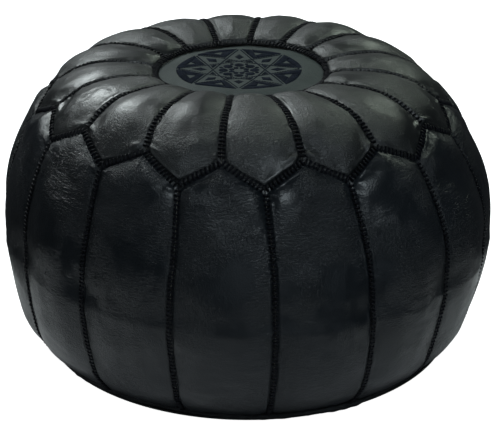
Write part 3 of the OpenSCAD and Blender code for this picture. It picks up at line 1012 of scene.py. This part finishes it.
def leather_material(name, dark, light, rough=(0.32, 0.5), shine=0.3, mottle=11.0,
                     grain=0.3, creases=1.0, lumps=0.3, ways=UPRIGHT_WRINKLES):
    mat, tree, shader = new_material(name)
    link = tree.links.new
    coord = node(tree, "ShaderNodeTexCoord").outputs["Object"]

    def noise(scale, detail=4.0, roughness=0.55, distortion=0.0):
        n = node(tree, "ShaderNodeTexNoise", Scale=scale, Detail=detail, Roughness=roughness,
                 Distortion=distortion)
        link(coord, n.inputs["Vector"])
        return n.outputs["Fac"]

    clouds = noise(mottle, 5.0, 0.6, 0.6)
    colour = ramp(tree, clouds, [(0.36, dark), (0.66, light)])
    link(colour, shader.inputs["Base Color"])
    worn = ramp(tree, noise(mottle * 2.3, 6.0, 0.65, 0.4),
                [(0.3, grey(rough[0])), (0.7, grey(rough[1]))])
    link(worn, shader.inputs["Roughness"])
    shader.inputs["Specular IOR Level"].default_value = shine

    # Grain: small pebbles, and patches of fine wrinkles in two directions
    pebble = node(tree, "ShaderNodeTexVoronoi", Scale=560.0)
    link(coord, pebble.inputs["Vector"])
    grain_bump = node(tree, "ShaderNodeBump", Strength=grain, Distance=0.0004)
    link(pebble.outputs["Distance"], grain_bump.inputs["Height"])

    def wrinkles(scale, mask_scale, low, high, under, strength):
        stretch = node(tree, "ShaderNodeMapping")
        stretch.inputs["Scale"].default_value = scale
        link(coord, stretch.inputs["Vector"])
        fine = node(tree, "ShaderNodeTexNoise", Scale=1.0, Detail=4.0, Roughness=0.62,
                    Distortion=1.1)
        link(stretch.outputs["Vector"], fine.inputs["Vector"])
        patch = ramp(tree, noise(mask_scale, 2.0), [(low, grey(0.08)), (high, grey(1.0))])
        masked = node(tree, "ShaderNodeMix", data_type="RGBA", blend_type="MULTIPLY")
        masked.inputs["Factor"].default_value = 1.0
        link(fine.outputs["Fac"], masked.inputs[6])
        link(patch, masked.inputs[7])
        bump = node(tree, "ShaderNodeBump", Strength=strength, Distance=0.0021 * creases)
        link(masked.outputs[2], bump.inputs["Height"])
        link(under, bump.inputs["Normal"])
        return bump.outputs["Normal"]

    normal = wrinkles(ways[0], 15.0, 0.42, 0.6, grain_bump.outputs["Normal"], 1.0)
    normal = wrinkles(ways[1], 19.0, 0.48, 0.62, normal, 0.9)
    lump_bump = node(tree, "ShaderNodeBump", Strength=lumps, Distance=0.0022)
    link(noise(75.0, 5.0, 0.62), lump_bump.inputs["Height"])
    link(normal, lump_bump.inputs["Normal"])
    link(lump_bump.outputs["Normal"], shader.inputs["Normal"])
    return mat


def thread_material(name, dark, light, rough=0.6, shine=0.3, fuzz=0.2):
    mat, tree, shader = new_material(name)
    link = tree.links.new
    coord = node(tree, "ShaderNodeTexCoord").outputs["Object"]
    n = node(tree, "ShaderNodeTexNoise", Scale=160.0, Detail=3.0)
    link(coord, n.inputs["Vector"])
    link(ramp(tree, n.outputs["Fac"], [(0.35, dark), (0.65, light)]), shader.inputs["Base Color"])
    fibre = node(tree, "ShaderNodeTexNoise", Scale=1500.0, Detail=2.0)
    link(coord, fibre.inputs["Vector"])
    bump = node(tree, "ShaderNodeBump", Strength=0.5, Distance=0.0003)
    link(fibre.outputs["Fac"], bump.inputs["Height"])
    link(bump.outputs["Normal"], shader.inputs["Normal"])
    shader.inputs["Roughness"].default_value = rough
    shader.inputs["Specular IOR Level"].default_value = shine
    shader.inputs["Sheen Weight"].default_value = fuzz
    return mat


def metal_material(name, colour):
    mat, tree, shader = new_material(name)
    link = tree.links.new
    coord = node(tree, "ShaderNodeTexCoord").outputs["Object"]
    n = node(tree, "ShaderNodeTexNoise", Scale=240.0, Detail=5.0)
    link(coord, n.inputs["Vector"])
    dark = tuple(c * 0.45 for c in colour)
    link(ramp(tree, n.outputs["Fac"], [(0.35, dark), (0.6, colour)]), shader.inputs["Base Color"])
    link(ramp(tree, n.outputs["Fac"], [(0.3, grey(0.5)), (0.7, grey(0.28))]),
         shader.inputs["Roughness"])
    shader.inputs["Metallic"].default_value = 1.0
    bump = node(tree, "ShaderNodeBump", Strength=0.2, Distance=0.0001)
    link(n.outputs["Fac"], bump.inputs["Height"])
    link(bump.outputs["Normal"], shader.inputs["Normal"])
    return mat


MATERIALS = {
    "top_leather": leather_material("top_leather", (0.0042, 0.0054, 0.0060),
                                    (0.0078, 0.0096, 0.0098), (0.33, 0.40), shine=0.62,
                                    creases=0.45, lumps=0.05, ways=TOP_WRINKLES),
    "side_leather": leather_material("side_leather", (0.0050, 0.0070, 0.0094),
                                     (0.0086, 0.0112, 0.0140), (0.27, 0.35), shine=0.42,
                                     creases=0.78, lumps=0.08),
    "medallion_leather": leather_material("medallion_leather", (0.036, 0.045, 0.044),
                                          (0.051, 0.062, 0.059), (0.55, 0.65), shine=0.18,
                                          creases=0.4, lumps=0.1, ways=TOP_WRINKLES),
    "base_leather": leather_material("base_leather", (0.016, 0.018, 0.017),
                                     (0.03, 0.033, 0.03), (0.5, 0.65), shine=0.3,
                                     creases=0.3),
    "piping_leather": leather_material("piping_leather", (0.0055, 0.0065, 0.008),
                                       (0.010, 0.0115, 0.013), (0.36, 0.5), shine=0.3),
    "braid_thread": thread_material("braid_thread", (0.0013, 0.0015, 0.0030),
                                    (0.0036, 0.0040, 0.0072), 0.5, shine=0.14, fuzz=0.0),
    "embroidery_thread": thread_material("embroidery_thread", (0.0085, 0.0115, 0.0185),
                                         (0.0170, 0.0215, 0.0330), 0.8, shine=0.05,
                                         fuzz=0.0),
    "piping_cord": thread_material("piping_cord", (0.5, 0.46, 0.38), (0.62, 0.58, 0.5), 0.8),
    "zip_tape": thread_material("zip_tape", (0.008, 0.008, 0.009), (0.014, 0.014, 0.016), 0.7),
    "zip_metal": metal_material("zip_metal", (0.55, 0.43, 0.22)),
    "liner_cotton": thread_material("liner_cotton", (0.55, 0.52, 0.45), (0.68, 0.65, 0.58), 0.85),
    "stuffing_cotton": thread_material("stuffing_cotton", (0.62, 0.58, 0.5),
                                       (0.75, 0.72, 0.66), 0.9),
}

build_panels(MATERIALS)
build_braids(MATERIALS["braid_thread"])
build_medallion(MATERIALS["medallion_leather"])
build_embroidery(MATERIALS["embroidery_thread"])
piping = piping_ring("piping_cover", PIPING_TUBE, 20)
solidify(piping, 1.0)
finish_piece(piping, MATERIALS["piping_leather"], "piping_leather", BODY, "base_piping_cover")
cord = piping_ring("piping_cord", CORD_TUBE, 18, CORD_STRANDS)
finish_piece(cord, MATERIALS["piping_cord"], "piping_cord", BODY, "base_piping_cord")
build_zip_tape("zip_tape_back_woven", 1, MATERIALS["zip_tape"], "zip_tape_back")
build_zip_tape("zip_tape_front_woven", -1, MATERIALS["zip_tape"], "zip_tape_front")
build_base(MATERIALS["base_leather"])
liner = revolved("liner_bag", depth=5.2, floor_z=12.2, roof_z=276.6, lumps=40)
finish_piece(liner, MATERIALS["liner_cotton"], "liner_cotton", BODY, "liner")
stuffing = revolved("stuffing_fill", depth=6.8, floor_z=13.8, roof_z=275.0, lumps=25)
finish_piece(stuffing, MATERIALS["stuffing_cotton"], "stuffing_cotton", BODY, "stuffing")

for row in frame["record"]["subparts"]:
    shown = frame["nodes"].get(row["node"])
    if shown is not None and not shown.hide_render:
        for holder in shown.material_slots:
            holder.material = MATERIALS[row["material_slot"]]


# ---- Studio ----------------------------------------------
def make_disc(name, radius, forward, height, glow, hole=0.0):
    """A flat white disc that glows, its outer edge moved forward, with a hole round z if any."""
    mat, tree, shader = new_material(name)
    shader.inputs["Base Color"].default_value = (0.9, 0.9, 0.9, 1)
    shader.inputs["Roughness"].default_value = 0.9
    shader.inputs["Specular IOR Level"].default_value = 0.0
    shader.inputs["Emission Color"].default_value = (1, 1, 1, 1)
    shader.inputs["Emission Strength"].default_value = glow
    turn = np.linspace(0, 2 * math.pi, 128, endpoint=False)
    x, y = radius * np.cos(turn), radius * np.sin(turn) - forward
    points = np.stack([x, y, 0 * x + height], -1)
    faces = [list(range(len(turn)))]
    if hole:
        inner = np.stack([hole * np.cos(turn), hole * np.sin(turn), 0 * x + height], -1)
        points, faces = np.concatenate([inner, points]), net_faces(len(turn), 2, wrap=True)
    disc = mesh_object(name, points, faces, smooth_faces=False)
    disc.data.materials.append(mat)
    return disc


def make_floor():
    """A glowing white floor that the camera sees and the pouf doesn't, and a card just over it
    that only shows in the pouf. The card's hole is where the cushion shades the floor."""
    floor = make_disc("floor", 12000, 0, -0.4, 1.0)
    floor.visible_glossy = False
    floor.visible_diffuse = False
    card = make_disc("bounce_card", 368, 75, -0.2, 0.125, hole=232)
    card.visible_camera = False
    card.visible_shadow = False


def add_light(name, position, size, power, colour, size_y):
    """A lamp of size by size_y metres, aimed at LAMP_TARGET."""
    data = bpy.data.lights.new(name, "AREA")
    data.shape = "RECTANGLE"
    data.size = size
    data.size_y = size_y
    data.energy = power
    data.color = colour
    obj = bpy.data.objects.new(name, data)
    obj.location = position
    way = Vector(LAMP_TARGET) - Vector(position)
    obj.rotation_mode = "QUATERNION"
    obj.rotation_quaternion = way.to_track_quat("-Z", "Y")
    bpy.context.scene.collection.objects.link(obj)


def lamp_place(azimuth, elevation, distance):
    """A place seen from LAMP_TARGET, at an azimuth from straight behind and an elevation."""
    a, e = math.radians(azimuth), math.radians(elevation)
    return (math.sin(a) * math.cos(e) * distance, math.cos(a) * math.cos(e) * distance,
            math.sin(e) * distance + LAMP_TARGET[2])


LAMP_TARGET = (0, 0, 0.25)
make_floor()
add_light("back_left", lamp_place(-28, 40, 2.4), 1.1, 33, (0.92, 1.0, 1.0), size_y=0.7)
add_light("back_right", lamp_place(36, 36, 2.4), 0.6, 8.6, (0.86, 1.0, 0.86), size_y=0.5)
add_light("back_wall", lamp_place(0, 12, 2.8), 1.8, 0.8, (0.94, 1.0, 0.98), size_y=0.9)
add_light("left_wall", lamp_place(-100, 18, 3.0), 1.8, 4.5, (0.86, 0.95, 1.0), size_y=1.2)
add_light("front", lamp_place(163, 47, 2.4), 1.4, 21, (0.82, 0.94, 1.0), size_y=0.85)
add_light("room", lamp_place(170, 6, 3.0), 2.8, 7.0, (0.76, 0.90, 1.0), size_y=2.2)

world = bpy.data.worlds.new("world")
bpy.context.scene.world = world
world.use_nodes = True
world.node_tree.nodes["Background"].inputs["Color"].default_value = (0.85, 0.93, 1, 1)
world.node_tree.nodes["Background"].inputs["Strength"].default_value = 0.032
bpy.context.scene.view_settings.view_transform = "Standard"
